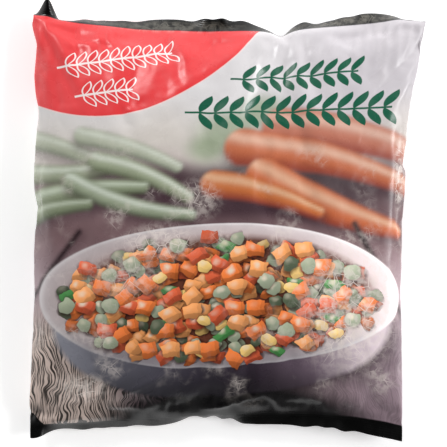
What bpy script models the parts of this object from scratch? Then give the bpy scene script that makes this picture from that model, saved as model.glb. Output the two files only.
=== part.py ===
"""A frozen vegetable bag: a pillow of printed film, filled, sealed at both ends and lying on its back.

Metres, +Z up. The printed front faces +Z, +Y runs from the bottom seal to the top seal and +X to the
right of the front. The origin is on the surface that the bag lies on, under the middle of its box.
"""

import math
from collections import namedtuple

import bmesh
import bpy
from mathutils import Vector, noise

# The filled body between its two seal lines
HALF_WIDTH_LEFT = 0.1201
HALF_WIDTH_RIGHT = 0.1216
LEFT_TAPER = 0.0038  # the left fold leans inwards from the bottom to the shoulder
LEFT_SHOULDER = 0.0034  # and steps out again above it
LEFT_CORNER_FLARE = 0.0029
RIGHT_BELLY = 0.0014
RIGHT_WAIST = 0.0015
TOP_RIGHT_FLARE = 0.0150  # the unfilled top corner keeps more of the flat width of the film
FLARE_START = 0.44  # where the right corner begins to flare, from 0 at mid-length to 1 at the seal
FILL_HEIGHT = 0.044
SIDE_EDGE_HEIGHT = 0.017  # the folds down the sides stand this high off the surface below
UNEVENNESS = 0.0016  # how far the loose contents push the film up and down
UNEVENNESS_LENGTH = 0.042

# The two seals, which bow towards the body at their middle
TOP_SEAL_MIDDLE = 0.1268
TOP_SEAL_BOW_LEFT = 0.0105
TOP_SEAL_BOW_RIGHT = 0.0080
TOP_SEAL_FALL = 0.08  # slope of the seal line in the flared corner
BOTTOM_SEAL_MIDDLE = 0.1240
BOTTOM_SEAL_CROWN = 0.020  # x where the bottom seal line stands highest
BOTTOM_SEAL_BOW = 0.0080
SEAL_HEIGHT = 0.012  # how high the seal lines stand
SEAL_DEPTH = 0.009  # a seal strip, from its seal line to its free edge
SEAL_THICKNESS = 0.0010
Lobe = namedtuple("Lobe", "start peak stop reach")
TOP_LOBES = (  # where the top strip lies out past its seal line, and how far
    Lobe(-0.103, 0.002, 0.0425, 0.0078),
    Lobe(0.0425, 0.0595, 0.068, 0.0042),
    Lobe(0.058, 0.094, 0.1225, 0.0064),
)
NOTCH_X = 0.0418  # between the lobes the strip is folded straight down
NOTCH_DEPTH = 0.0050
NOTCH_WIDTH = 0.0065
NOTCH_FADE = 14  # how soon the notch is lost below the seal
EAR_X = -0.1125  # the strip's left corner stands up
EAR_LENGTH = 0.0100
EAR_WIDTH = 0.0052
EAR_LEAN = 0.0005
EAR_RISE = 0.0050
BOTTOM_STRIP_LIE = 0.0044  # how far the bottom strip lies out left of its middle
BOTTOM_CORNER_LIE = 0.0047  # and how much further at its left corner
BOTTOM_DIP = 0.0036  # it hangs almost straight down at its middle
BOTTOM_RIGHT_LIE = 0.0023  # it lies out further on the right
BOTTOM_END_LIE = 0.0018  # and again near its right end

# Folds of the film
GATHER_HEIGHT = 0.0011  # the film gathers where the flat seals meet the round body
GATHER_LENGTH = 0.027
GATHER_REACH = 0.030
PUCKER_HEIGHT = 0.0009  # smaller puckers run in from the side folds
PUCKER_LENGTH = 0.031
PUCKER_REACH = 0.022
Crease = namedtuple("Crease", "start end width height")
CREASES = (
    Crease((0.127, 0.120), (0.096, 0.078), 0.0080, -0.0022),  # valley in from the top right corner
    Crease((-0.028, -0.127), (0.036, -0.109), 0.0060, 0.0020),  # ridge across the bottom, off centre
    Crease((-0.094, -0.112), (-0.066, -0.108), 0.0065, 0.0026),  # pinched knot by the bottom left
    Crease((-0.066, -0.110), (-0.030, -0.092), 0.0055, 0.0020),  # and the ridge that leaves it
    Crease((0.113, 0.062), (0.112, 0.000), 0.0050, -0.0013),  # long crease beside the right fold
    Crease((-0.108, 0.118), (-0.060, 0.112), 0.0070, -0.0016),  # dip below the standing corner
    Crease((0.042, 0.120), (0.030, 0.084), 0.0070, -0.0014),  # dip that runs down from the notch
)

# The mesh: columns across the bag, and rows along its body and each seal strip
COLUMNS = 44
BODY_ROWS = 46
STRIP_ROWS = 2
FILM_COLOUR = (0.58, 0.47, 0.44, 1.0)


def ramp(value, start, end):
    """0 up to start and 1 from end, with a smooth rise between them."""
    share = min(1.0, max(0.0, (value - start) / (end - start)))
    return share * share * (3 - 2 * share)


def bell(value, centre, width):
    """1 at the centre, falling to about a third one width away from it."""
    return math.exp(-(((value - centre) / width) ** 2))


def mix(low, high, share):
    """The value a share of the way from low to high."""
    return low + (high - low) * share


def left_edge(v):
    """x of the left side fold, at v from -1 at the bottom seal to 1 at the top seal."""
    bottom_bulge = 0.0012 * bell(v, -0.90, 0.14)
    shoulder = LEFT_SHOULDER * ramp(v, 0.50, 0.70)
    corner = LEFT_CORNER_FLARE * ramp(v, 0.84, 0.95) - 0.0020 * ramp(v, 0.94, 1.0)
    return -HALF_WIDTH_LEFT + LEFT_TAPER * v - bottom_bulge - shoulder - corner


def right_edge(v):
    """x of the right side fold."""
    belly = RIGHT_BELLY * bell(v, 0.15, 0.28)
    waist = RIGHT_WAIST * bell(v, -0.33, 0.14)
    flare = max(0.0, (v - FLARE_START) / (1 - FLARE_START))
    return HALF_WIDTH_RIGHT + belly - waist + TOP_RIGHT_FLARE * flare**0.9


def top_seal_line(x):
    """y of the line where the front meets the top seal strip, without its notch."""
    left = max(0.0, -x / 0.120)
    right = min(1.0, max(0.0, x / 0.120))
    bow = TOP_SEAL_BOW_LEFT * left**2.2 + TOP_SEAL_BOW_RIGHT * right**2.2
    return TOP_SEAL_MIDDLE + bow - TOP_SEAL_FALL * max(0.0, x - 0.120)


def notch(x, v):
    """How far the folded notch pulls the film down, which is felt only close to the top seal."""
    return NOTCH_DEPTH * math.exp(-abs(x - NOTCH_X) / NOTCH_WIDTH) * ((v + 1) / 2) ** NOTCH_FADE


def bottom_seal_line(x):
    """y of the line where the front meets the bottom seal strip."""
    left = max(0.0, (BOTTOM_SEAL_CROWN - x) / 0.140)
    right = max(0.0, (x - BOTTOM_SEAL_CROWN) / 0.100)
    return -BOTTOM_SEAL_MIDDLE - BOTTOM_SEAL_BOW * (left**0.9 + right**3.0)


def top_strip_lie(x):
    """How far the top strip lies out past its seal line. Where it is less than its depth, it hangs."""
    lie = 0.0
    for lobe in TOP_LOBES:
        share = min((x - lobe.start) / (lobe.peak - lobe.start), (lobe.stop - x) / (lobe.stop - lobe.peak))
        lie = max(lie, lobe.reach * max(0.0, share) ** 0.5)
    return lie


def bottom_strip_lie(x):
    """How far the bottom strip lies out past its seal line."""
    left = BOTTOM_CORNER_LIE * bell(x, -0.122, 0.009) - BOTTOM_DIP * bell(x, -0.012, 0.020)
    right = BOTTOM_RIGHT_LIE * ramp(x, 0.018, 0.055) + BOTTOM_END_LIE * ramp(x, 0.072, 0.085)
    return BOTTOM_STRIP_LIE + left + right


def fullness(u, v):
    """How much of the full height the contents reach, from 0 at the folds and seals to 1 in the middle."""
    across = (1 - abs(u) ** 3.4) ** 0.50
    along = (1 - abs(v) ** 2.8) ** 0.62
    return across * along


def underside(u, v):
    """Height of the lower film: flat where the bag rests, and round towards the folds and seals."""
    side = max(0.0, (abs(u) - 0.62) / 0.38)
    end = max(0.0, (abs(v) - 0.62) / 0.38)
    rounding = SIDE_EDGE_HEIGHT * (1 - math.sqrt(1 - side * side))
    return mix(rounding, SEAL_HEIGHT, end * end)


def crease_relief(x, y):
    """Height that the single creases add to the upper film."""
    relief = 0.0
    for crease in CREASES:
        start, end, point = Vector(crease.start), Vector(crease.end), Vector((x, y))
        run = end - start
        share = (point - start).dot(run) / run.length_squared
        nearest = start + run * min(1.0, max(0.0, share))
        relief += crease.height * bell((point - nearest).length, 0.0, crease.width)
    return relief


def fold_relief(u, v, x, y):
    """Height that gathers, puckers, creases and the uneven contents add to the upper film."""
    past_top = top_seal_line(x) - y
    past_bottom = y - bottom_seal_line(x)
    from_seal = max(0.0, min(past_top, past_bottom))
    from_side = min(x - left_edge(v), right_edge(v) - x)
    wander = noise.noise(Vector((x, y, 0.3)) / 0.050)
    gather = GATHER_HEIGHT * math.sin(math.tau * x / GATHER_LENGTH + 4.0 * wander)
    gather *= math.exp(-from_seal / GATHER_REACH)
    pucker = PUCKER_HEIGHT * math.sin(math.tau * y / PUCKER_LENGTH + 5.0 * wander)
    pucker *= math.exp(-from_side / PUCKER_REACH)
    lumps = UNEVENNESS * noise.noise(Vector((x, y, 0.0)) / UNEVENNESS_LENGTH)
    fade = ramp(from_seal, 0.0, 0.012) * ramp(from_side, 0.0, 0.010)
    return fade * (gather + pucker + lumps + crease_relief(x, y))


def body_point(u, v, upper):
    """A point of the body film, on its upper or its lower side."""
    x = mix(left_edge(v), right_edge(v), (u + 1) / 2)
    y = mix(bottom_seal_line(x), top_seal_line(x), (v + 1) / 2) - notch(x, v)
    z = underside(u, v)
    if upper:
        z += SEAL_THICKNESS + FILL_HEIGHT * fullness(u, v) + fold_relief(u, v, x, y)
    return Vector((x, y, z))


def strip_point(u, end, share, upper):
    """A point of a seal strip: end is 1 at the top seal and -1 at the bottom, share runs to its free edge."""
    root = body_point(u, float(end), False)
    lie = top_strip_lie(root.x) if end > 0 else bottom_strip_lie(root.x)
    drop = math.sqrt(max(0.0, SEAL_DEPTH**2 - lie**2))
    ear = bell(root.x, EAR_X, EAR_WIDTH) if end > 0 else 0.0
    drop *= 1 - ear
    reach = Vector((EAR_LEAN * ear, end * (lie + EAR_LENGTH * ear), EAR_RISE * ear - drop))
    slope = math.atan2(-reach.z, abs(reach.y))
    normal = Vector((0.0, end * math.sin(slope), math.cos(slope)))
    side = 1.0 if upper else 0.0
    return root + reach * share + normal * SEAL_THICKNESS * side


def film_point(column, row, upper):
    """The point of the film for a column from -1 to 1 across and a row from 0 at the bottom edge up."""
    u = math.copysign(1 - (1 - abs(column)) ** 1.35, column)
    if row < STRIP_ROWS:
        return strip_point(u, -1, 1 - row / STRIP_ROWS, upper)
    if row > STRIP_ROWS + BODY_ROWS:
        return strip_point(u, 1, (row - STRIP_ROWS - BODY_ROWS) / STRIP_ROWS, upper)
    v = 2 * (row - STRIP_ROWS) / BODY_ROWS - 1
    return body_point(u, v, upper)


def film_material():
    """Printed polythene film, in the mean colour of its print."""
    material = bpy.data.materials.new("printed_film")
    material.use_nodes = True
    shader = material.node_tree.nodes["Principled BSDF"]
    shader.inputs["Base Color"].default_value = FILM_COLOUR
    shader.inputs["Roughness"].default_value = 0.38
    shader.inputs["Metallic"].default_value = 0.0
    return material


def edges_along(mesh, axis):
    """The edges of a box that run along one of its axes."""
    found = []
    for edge in mesh.edges:
        run = edge.verts[1].co - edge.verts[0].co
        if abs(run[axis]) > 0.9 * run.length:
            found.append(edge)
    return found


def build_bag(collection):
    """The bag as one closed solid: a box, divided into columns and rows, whose points take the film's shape."""
    rows = BODY_ROWS + 2 * STRIP_ROWS
    mesh = bmesh.new()
    bmesh.ops.create_cube(mesh, size=2.0)
    bmesh.ops.subdivide_edges(mesh, edges=edges_along(mesh, 0), cuts=COLUMNS - 1, use_grid_fill=True)
    bmesh.ops.subdivide_edges(mesh, edges=edges_along(mesh, 1), cuts=rows - 1, use_grid_fill=True)
    for vertex in mesh.verts:
        column, along, side = vertex.co
        vertex.co = film_point(column, round((along + 1) / 2 * rows), side > 0)
    low = Vector(map(min, zip(*(vertex.co for vertex in mesh.verts))))
    high = Vector(map(max, zip(*(vertex.co for vertex in mesh.verts))))
    middle = (low + high) / 2
    bmesh.ops.translate(mesh, verts=mesh.verts, vec=(-middle.x, -middle.y, -low.z))
    data = bpy.data.meshes.new("bag")
    mesh.to_mesh(data)
    mesh.free()
    data.shade_smooth()
    data.materials.append(film_material())
    bag = bpy.data.objects.new("bag", data)
    collection.objects.link(bag)
    return bag


def main():
    """Clears the scene and builds the bag in a collection of its own."""
    for leftover in list(bpy.data.objects):
        bpy.data.objects.remove(leftover)
    collection = bpy.data.collections.new("frozen_vegetable_bag")
    bpy.context.scene.collection.children.link(collection)
    build_bag(collection)


main()
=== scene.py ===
"""The looks of a frozen vegetable bag: printed film round its contents, two seal strips and a back seam.

Lengths are metres in the model's own frame, where the printed front faces +Z and +Y runs up the print.
Names that end in _mm are millimetres on the flat web of film, from the middle of the printed front. The web
is one sheet, wrapped round the contents, joined down the middle of the back and sealed at both ends.
"""

import logging
import math
from dataclasses import dataclass
from enum import Enum

import bpy
import numpy as np
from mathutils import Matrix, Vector, noise


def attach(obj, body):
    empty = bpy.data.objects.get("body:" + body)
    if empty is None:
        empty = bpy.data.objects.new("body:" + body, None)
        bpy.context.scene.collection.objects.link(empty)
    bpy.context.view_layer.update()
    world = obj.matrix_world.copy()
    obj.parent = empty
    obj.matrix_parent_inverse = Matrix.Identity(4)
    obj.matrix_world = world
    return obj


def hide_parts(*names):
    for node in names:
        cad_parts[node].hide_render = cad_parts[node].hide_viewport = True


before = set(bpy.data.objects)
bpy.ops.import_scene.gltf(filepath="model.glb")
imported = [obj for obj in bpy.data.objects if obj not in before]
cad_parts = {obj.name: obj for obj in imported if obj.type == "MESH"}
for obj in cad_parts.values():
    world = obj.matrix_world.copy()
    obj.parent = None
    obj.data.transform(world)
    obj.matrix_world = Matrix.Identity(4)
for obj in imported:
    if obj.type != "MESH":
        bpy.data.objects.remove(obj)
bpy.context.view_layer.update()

LOG = logging.getLogger("vegetable_bag")

Array = np.ndarray
Items = bpy.types.bpy_prop_collection
Mesh = bpy.types.Mesh
Piece = bpy.types.Object
Socket = bpy.types.NodeSocket
Pair = tuple[float, float]
Three = tuple[float, float, float]

WEB_HALF_MM = 259.0  # from the middle of the front to the back seam: the flat bag is this wide
BODY_HALF_MM = 133.0  # from the middle of the front to a seal line
SEAL_MM = 9.0  # depth of a seal strip
WEB_SPAN_MM = (2 * WEB_HALF_MM, 2 * (BODY_HALF_MM + SEAL_MM))
FILM_LIFT = 0.0006  # the film's underside rests on the folded back seam, this high
SEED = 20


def linear(code: str) -> tuple[float, float, float, float]:
    """Turns an sRGB colour to linear light.

    Args:
        code: the colour as "#rrggbb".

    Returns:
        Red, green, blue and an alpha of 1.
    """
    shares = [int(code[place:place + 2], 16) / 255 for place in (1, 3, 5)]
    red, green, blue = (s / 12.92 if s <= 0.04045 else ((s + 0.055) / 1.055) ** 2.4 for s in shares)
    return red, green, blue, 1.0


def ramp(value: Array, start: float, end: float) -> Array:
    """Rises smoothly from 0 where the value is start to 1 where it is end, whichever is the larger."""
    share = np.clip((value - start) / (end - start), 0.0, 1.0)
    return share * share * (3 - 2 * share)


def bell(value: Array, centre: float, width: float) -> Array:
    """1 at the centre, falling to about a third one width away from it."""
    return np.exp(-(((value - centre) / width) ** 2))


def swells(value: Array, bells: tuple[Three, ...], ramps: tuple[Three, ...] = ()) -> Array:
    """Adds up bells, each a size, a centre and a width, and ramps, each a size, a start and an end."""
    rise = sum(size * bell(value, centre, width) for size, centre, width in bells)
    return rise + sum(size * ramp(value, start, end) for size, start, end in ramps)


def waver(value: Array, height: float, wave: float, wander: float, slow_wave: float) -> Array:
    """An uneven ripple, as wide as its wave, that wanders over a slower one."""
    return height * np.sin(value / wave + wander * np.sin(value / slow_wave))


class End(Enum):
    """The two sealed ends of the bag."""

    BOTTOM = -1
    TOP = 1


@dataclass
class BagShape:
    """The filled bag before its finer folds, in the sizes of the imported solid."""

    half_width: Pair = (0.1203, 0.1224)  # left and right, at the side folds
    left_taper: float = 0.0038
    left_bells: tuple[Three, ...] = ((0.0012, -0.90, 0.14), (0.0017, 0.17, 0.13))
    left_ramps: tuple[Three, ...] = ((0.0034, 0.50, 0.70), (0.0038, 0.84, 0.95), (-0.0008, 0.94, 1.0))
    right_bells: tuple[Three, ...] = ((0.0014, 0.22, 0.28), (-0.0006, -0.33, 0.14), (0.0018, 0.43, 0.07))
    top_right_flare: float = 0.0158
    flare_start: float = 0.44
    flare_power: float = 0.9
    fill_height: float = 0.044
    across_powers: Pair = (3.4, 0.50)  # of the filled front's section across the bag
    along_powers: Pair = (2.8, 0.62)  # and along it
    flat_share: float = 0.62  # how much of the back lies on the table, each way
    side_edge_height: float = 0.017
    top_seal_middle: float = 0.1278
    top_seal_bow: Pair = (0.0105, 0.0080)  # left and right of the middle
    top_seal_power: float = 2.2
    top_seal_reach: float = 0.120  # x at which it has bowed that far
    top_seal_fall: float = 0.08  # slope of the seal line beyond that, in the flared corner
    bottom_seal_middle: float = 0.1250
    bottom_seal_crown: float = 0.020  # x where the bottom seal line stands highest
    bottom_seal_bow: float = 0.0080
    bottom_seal_powers: Pair = (0.9, 3.0)  # left and right of the crown
    bottom_seal_reach: Pair = (0.140, 0.100)  # from the crown to where it has bowed that far
    seal_height: float = 0.012
    seal_depth: float = 0.009
    seal_thickness: float = 0.0003
    seal_powers: Pair = (12, 40)  # how sharply the two films part, inwards from the folds and the seals
    top_lobes: tuple[tuple[float, float, float, float], ...] = (  # from, peak, to and how far each lies out
        (-0.103, 0.002, 0.0425, 0.0094),
        (0.0425, 0.0585, 0.069, 0.0066),
        (0.057, 0.094, 0.1235, 0.0082),
    )
    notch_x: float = 0.0418
    notch_depth: float = 0.0054
    notch_width: float = 0.0065
    notch_fade: int = 14
    ear_x: float = -0.1122
    ear_length: float = 0.0140
    ear_width: Pair = (0.0066, 0.0036)  # left and right of its tip
    ear_lean: float = 0.0005
    ear_rise: float = 0.0050
    bottom_lie: float = 0.0060
    bottom_bells: tuple[Three, ...] = ((0.0047, -0.122, 0.009), (-0.0040, -0.012, 0.020))
    bottom_ramps: tuple[Three, ...] = ((0.0036, 0.000, 0.030), (0.0018, 0.072, 0.085))
    ragged: tuple[float, ...] = (0.0008, 0.0034, 3.1, 0.0117)  # the cut of a strip's free edge
    ruffle: tuple[float, ...] = (0.0007, 0.0031, 2.6, 0.011)  # how that edge rises and falls
    middle: Pair = (0.00592, 0.00222)  # the box's middle, in the plan of these sizes

    def left_edge(self, v: Array) -> Array:
        """x of the left side fold, at v from -1 at the bottom seal to 1 at the top seal."""
        return -self.half_width[0] + self.left_taper * v - swells(v, self.left_bells, self.left_ramps)

    def right_edge(self, v: Array) -> Array:
        """x of the right side fold, at v from -1 at the bottom seal to 1 at the top seal."""
        flare = np.maximum(0.0, (v - self.flare_start) / (1 - self.flare_start)) ** self.flare_power
        return self.half_width[1] + swells(v, self.right_bells) + self.top_right_flare * flare

    def seal_line(self, x: Array, end: End) -> Array:
        """Where the front meets a seal strip.

        Args:
            x: place across the bag.
            end: which end of the bag.

        Returns:
            y of the seal line, without its notch.
        """
        if end is End.BOTTOM:
            left = np.maximum(0.0, (self.bottom_seal_crown - x) / self.bottom_seal_reach[0])
            right = np.maximum(0.0, (x - self.bottom_seal_crown) / self.bottom_seal_reach[1])
            bow = left ** self.bottom_seal_powers[0] + right ** self.bottom_seal_powers[1]
            return -self.bottom_seal_middle - self.bottom_seal_bow * bow
        left = np.maximum(0.0, -x / self.top_seal_reach)
        right = np.clip(x / self.top_seal_reach, 0.0, 1.0)
        bow = sum(bow * side**self.top_seal_power for bow, side in zip(self.top_seal_bow, (left, right)))
        return self.top_seal_middle + bow - self.top_seal_fall * np.maximum(0.0, x - self.top_seal_reach)

    def notch(self, x: Array, v: Array) -> Array:
        """How far the folded notch pulls the film down, which is felt only close to the top seal."""
        pull = self.notch_depth * np.exp(-np.abs(x - self.notch_x) / self.notch_width)
        return pull * ((v + 1) / 2) ** self.notch_fade

    def strip_lie(self, x: Array, end: End) -> Array:
        """How far a seal strip lies out past its seal line.

        Args:
            x: place across the bag.
            end: which end of the bag.

        Returns:
            How far it lies out. Where that is less than the strip's depth, the strip hangs down.
        """
        if end is End.BOTTOM:
            return self.bottom_lie + swells(x, self.bottom_bells, self.bottom_ramps)
        lie = np.zeros_like(x)
        for start, peak, stop, reach in self.top_lobes:
            share = np.clip(np.minimum((x - start) / (peak - start), (stop - x) / (stop - peak)), 0.0, 1.0)
            lie = np.maximum(lie, reach * share**0.5)
        return lie

    def ear(self, x: Array) -> Array:
        """How far the top strip's left corner stands up at x, from 0 to 1."""
        left, right = (bell(x, self.ear_x, width) for width in self.ear_width)
        return np.where(x < self.ear_x, left, right)

    def body_points(self, u: Array, v: Array, upper: Array) -> Array:
        """Points of the body film.

        Args:
            u: place across the bag, from -1 at the left fold to 1 at the right fold.
            v: place along the bag, from -1 at the bottom seal to 1 at the top seal.
            upper: 1 on the front and 0 on the back.

        Returns:
            One row of x, y and z for each point.
        """
        x = self.left_edge(v) + (self.right_edge(v) - self.left_edge(v)) * (u + 1) / 2
        low, high = self.seal_line(x, End.BOTTOM), self.seal_line(x, End.TOP)
        y = low + (high - low) * (v + 1) / 2 - self.notch(x, v)
        side, end = (np.maximum(0.0, (np.abs(w) - self.flat_share) / (1 - self.flat_share)) for w in (u, v))
        rounding = self.side_edge_height * (1 - np.sqrt(np.maximum(0.0, 1 - side * side)))
        under = rounding + (self.seal_height - rounding) * end * end
        across = np.maximum(0.0, 1 - np.abs(u) ** self.across_powers[0]) ** self.across_powers[1]
        along = np.maximum(0.0, 1 - np.abs(v) ** self.along_powers[0]) ** self.along_powers[1]
        z = under + upper * self.fill_height * across * along
        parted = (1 - np.abs(u) ** self.seal_powers[0]) * np.abs(v) ** self.seal_powers[1]
        z += self.seal_thickness * (upper - 0.5) * parted
        return np.column_stack((x, y, z))

    def strip_points(self, u: Array, end: End, share: Array, upper: Array) -> Array:
        """Points of a seal strip.

        Args:
            u: place across the bag, from -1 to 1.
            end: which end of the bag.
            share: 0 at the seal line and 1 at the free edge.
            upper: 1 on the front's film and 0 on the back's.

        Returns:
            One row of x, y and z for each point.
        """
        root = self.body_points(u, np.full_like(u, end.value), np.zeros_like(u))
        lie = self.strip_lie(root[:, 0], end)
        ear = self.ear(root[:, 0]) if end is End.TOP else np.zeros_like(u)
        drop = np.sqrt(np.maximum(0.0, self.seal_depth**2 - lie**2)) * (1 - ear)
        out = lie + self.ear_length * ear + waver(root[:, 0], *self.ragged) * (1 - ear)
        rise = self.ear_rise * ear - drop
        reach = np.column_stack((self.ear_lean * ear, end.value * out, rise))
        slope = np.arctan2(-rise, out)
        normal = np.column_stack((np.zeros_like(u), end.value * np.sin(slope), np.cos(slope)))
        thickness = self.seal_thickness * np.minimum(1.0, 4 * (1 - share)) * (upper - 0.5)
        ruffle = waver(root[:, 0], *self.ruffle) * share
        return root + reach * share[:, None] + normal * (thickness + ruffle * (1 - ear))[:, None]


@dataclass
class FilmWeb:
    """The flat sheet that the bag is made of, as a grid of columns round the bag and rows along it."""

    columns: int = 176
    body_rows: int = 92
    strip_rows: int = 3
    edge_crowding: float = 1.25  # columns stand closer together towards the side folds

    @property
    def rows(self) -> int:
        """Rows of faces from one free edge to the other."""
        return self.body_rows + 2 * self.strip_rows

    def places(self, column: Array, row: Array) -> dict[str, Array]:
        """Says where the points of the grid lie on the flat sheet and on the bag.

        Args:
            column: from -1 at one edge of the web, round the front, to 1 at its other edge.
            row: number of the row, from 0 at the bottom edge.

        Returns:
            Arrays: u across the bag, v along it, upper 1 on the front, share out along a strip, end -1, 0
            or 1, and web_x and web_y in millimetres on the flat sheet.
        """
        upper = (np.abs(column) <= 0.5 + 1e-6).astype(float)
        from_middle = np.where(upper > 0, np.abs(column) * 2, (1 - np.abs(column)) * 2)
        u = np.sign(column) * (1 - (1 - from_middle) ** self.edge_crowding)
        first, last = self.strip_rows, self.strip_rows + self.body_rows
        v = np.clip(2 * (row - first) / self.body_rows - 1, -1.0, 1.0)
        share = np.clip(np.maximum(first - row, row - last) / self.strip_rows, 0.0, 1.0)
        end = np.where(row < first, -1, np.where(row > last, 1, 0))
        half = WEB_HALF_MM / 2
        web_x = np.where(upper > 0, u * half, np.sign(column) * WEB_HALF_MM - u * half)
        web_y = v * BODY_HALF_MM + end * share * SEAL_MM
        return {"u": u, "v": v, "upper": upper, "share": share, "end": end, "web_x": web_x, "web_y": web_y}


def read(items: Items, name: str, width: int, kind: type = np.float32) -> Array:
    """Reads one property of many items.

    Args:
        items: what it is read from, such as a mesh's points.
        name: the property.
        width: how many numbers each item has.
        kind: what the numbers are.

    Returns:
        One row for each item.
    """
    flat = np.empty(len(items) * width, kind)
    items.foreach_get(name, flat)
    return flat.reshape(-1, width)


def write(items: Items, name: str, rows: Array) -> None:
    """Writes one property of many items, from one row for each."""
    items.foreach_set(name, rows.astype(np.float32).ravel())


def points_of(mesh: Mesh) -> Array:
    """Reads a mesh's points as one row of x, y and z each."""
    return read(mesh.vertices, "co", 3).astype(float)


def move_points(mesh: Mesh, points: Array) -> None:
    """Writes a mesh's points from one row of x, y and z each."""
    write(mesh.vertices, "co", points)
    mesh.update()


def corner_points(mesh: Mesh) -> Array:
    """Reads the number of the point at each corner of a mesh's faces."""
    return read(mesh.loops, "vertex_index", 1, np.int32)[:, 0]


def web_places(mesh: Mesh) -> Array:
    """Reads where each of a mesh's points lies on the web.

    Args:
        mesh: the mesh, with its map named web.

    Returns:
        One row of x and y for each point, in millimetres.
    """
    web = np.zeros((len(mesh.vertices), 2))
    web[corner_points(mesh)] = (read(mesh.uv_layers["web"].data, "uv", 2) - 0.5) * WEB_SPAN_MM
    return web


def lay_on_web(mesh: Mesh, web: Array) -> None:
    """Sets a mesh's map from where its points lie on the web, in millimetres."""
    write(mesh.uv_layers["web"].data, "uv", web[corner_points(mesh)] / WEB_SPAN_MM + 0.5)


def add_grid(name: str, columns: int, rows: int) -> Piece:
    """Adds a flat grid, two units square.

    Args:
        name: the piece's name.
        columns: faces across it.
        rows: faces along it.

    Returns:
        The piece, with a map named web.
    """
    bpy.ops.object.select_all(action="DESELECT")
    bpy.ops.mesh.primitive_grid_add(x_subdivisions=columns, y_subdivisions=rows, size=2.0)
    piece = bpy.context.object
    piece.name = piece.data.name = name
    piece.data.uv_layers[0].name = "web"
    return piece


def apply_modifier(piece: Piece, kind: str, **settings: object) -> None:
    """Adds a modifier to a piece and applies it at once.

    Args:
        piece: the piece.
        kind: the modifier's type.
        settings: its properties.
    """
    modifier = piece.modifiers.new(kind, kind)
    for name, setting in settings.items():
        setattr(modifier, name, setting)
    bpy.ops.object.select_all(action="DESELECT")
    bpy.context.view_layer.objects.active = piece
    piece.select_set(True)
    bpy.ops.object.modifier_apply(modifier=kind)


@dataclass
class Blowing:
    """Settings of the cloth simulation that gives the filled film its own folds."""

    frames: int = 30
    quality: int = 6
    pressure: float = 1.5
    pressure_factor: float = 3.0
    litres: float = 1.80
    slack: float = 0.025  # how much longer the film is than its pattern
    stiffness: float = 60.0
    shear: float = 10.0
    bending: float = 0.01
    damping: float = 2.0
    mass: float = 0.1
    friction: float = 5.0
    gap: float = 0.0005
    table: float = -0.0004  # its height
    smoothings: int = 110  # rounds of averaging that tell the folds from the swelling
    most: float = 0.0045  # how far a fold may move a point

    def run(self, film: Piece, flat: Array, pinned: list[int]) -> Array:
        """Blows the film up inside its seals, on a floor.

        Args:
            film: the film as a closed mesh in its first shape.
            flat: the points on the flat pattern, in metres, one row each.
            pinned: the points that the seals hold.

        Returns:
            Where its points come to rest, with the folds alone kept: one row of x, y and z each.
        """
        film.shape_key_add(name="filled")
        pattern = film.shape_key_add(name="flat")
        write(pattern.data, "co", flat)
        film.vertex_groups.new(name="seals").add(pinned, 1.0, "REPLACE")
        bpy.ops.mesh.primitive_plane_add(size=1.0, location=(0.0, 0.0, self.table))
        table = bpy.context.object
        table.modifiers.new("rest", "COLLISION")
        table.collision.thickness_outer = self.gap
        table.collision.cloth_friction = self.friction
        bpy.context.view_layer.objects.active = film
        cloth = film.modifiers.new("blown", "CLOTH")
        settings = cloth.settings
        settings.quality = self.quality
        settings.mass = self.mass
        settings.air_damping = self.damping
        settings.tension_stiffness = settings.compression_stiffness = self.stiffness
        settings.shear_stiffness = self.shear
        settings.bending_stiffness = self.bending
        settings.vertex_group_mass = "seals"
        settings.rest_shape_key = pattern
        settings.shrink_min = -self.slack
        settings.use_pressure = settings.use_pressure_volume = True
        settings.uniform_pressure_force = self.pressure
        settings.target_volume = self.litres / 1000
        settings.pressure_factor = self.pressure_factor
        settings.effector_weights.gravity = 0.0
        cloth.collision_settings.distance_min = self.gap
        cloth.point_cache.frame_start = 1
        cloth.point_cache.frame_end = self.frames + 1
        for number in range(1, self.frames + 1):
            bpy.context.scene.frame_set(number)
        settled = points_of(film.evaluated_get(bpy.context.evaluated_depsgraph_get()).to_mesh())
        film.modifiers.remove(cloth)
        film.shape_key_clear()
        film.vertex_groups.clear()
        bpy.data.objects.remove(table)
        bpy.context.scene.frame_set(1)
        return self.keep_folds(film.data, settled, pinned)

    def keep_folds(self, mesh: Mesh, settled: Array, pinned: list[int]) -> Array:
        """Takes the folds alone from the blown film, and leaves its swelling and sagging out.

        Args:
            mesh: the film before it was blown up.
            settled: where its points came to rest.
            pinned: the points that the seals hold, which stay where they are.

        Returns:
            The points of the film in its first shape with the folds added.
        """
        first = points_of(mesh)
        move = settled - first
        ends = read(mesh.edges, "vertices", 2, np.int32)
        near = np.bincount(ends.ravel(), minlength=len(first)).astype(float)[:, None]
        swelling = move.copy()
        for _ in range(self.smoothings):
            total = np.zeros_like(swelling)
            np.add.at(total, ends[:, 0], swelling[ends[:, 1]])
            np.add.at(total, ends[:, 1], swelling[ends[:, 0]])
            swelling = 0.5 * swelling + 0.5 * total / near
            swelling[pinned] = 0.0
        folds = move - swelling
        folds[pinned] = 0.0
        size = np.linalg.norm(folds, axis=1, keepdims=True)
        return first + folds * np.minimum(1.0, self.most / np.maximum(size, 1e-9))


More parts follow.
